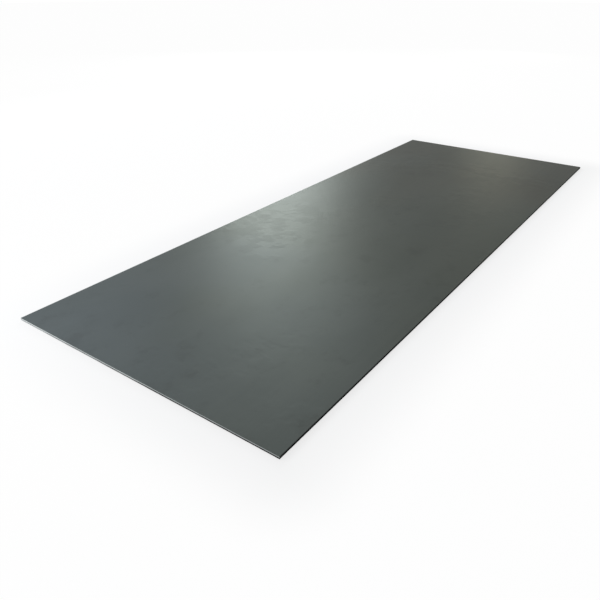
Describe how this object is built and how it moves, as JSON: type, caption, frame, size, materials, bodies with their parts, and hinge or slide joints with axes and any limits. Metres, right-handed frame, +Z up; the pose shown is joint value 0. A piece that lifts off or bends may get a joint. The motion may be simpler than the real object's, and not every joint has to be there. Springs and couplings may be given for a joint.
{
  "type": "steel plate",
  "caption": "Flat rectangular steel plate, rolled stock with sheared edges, for cutting, bending and welding into larger work.",
  "frame": {"origin": "middle of the underside, which lies on the floor", "axes": "+X along the length, +Y across the width, +Z up through the thickness"},
  "size_m": [2.4384, 0.9144, 0.0079],
  "materials": {
    "mill_steel": "satin"
  },
  "bodies": {
    "root": {"steel_plate": "mill_steel"}
  },
  "joints": []
}
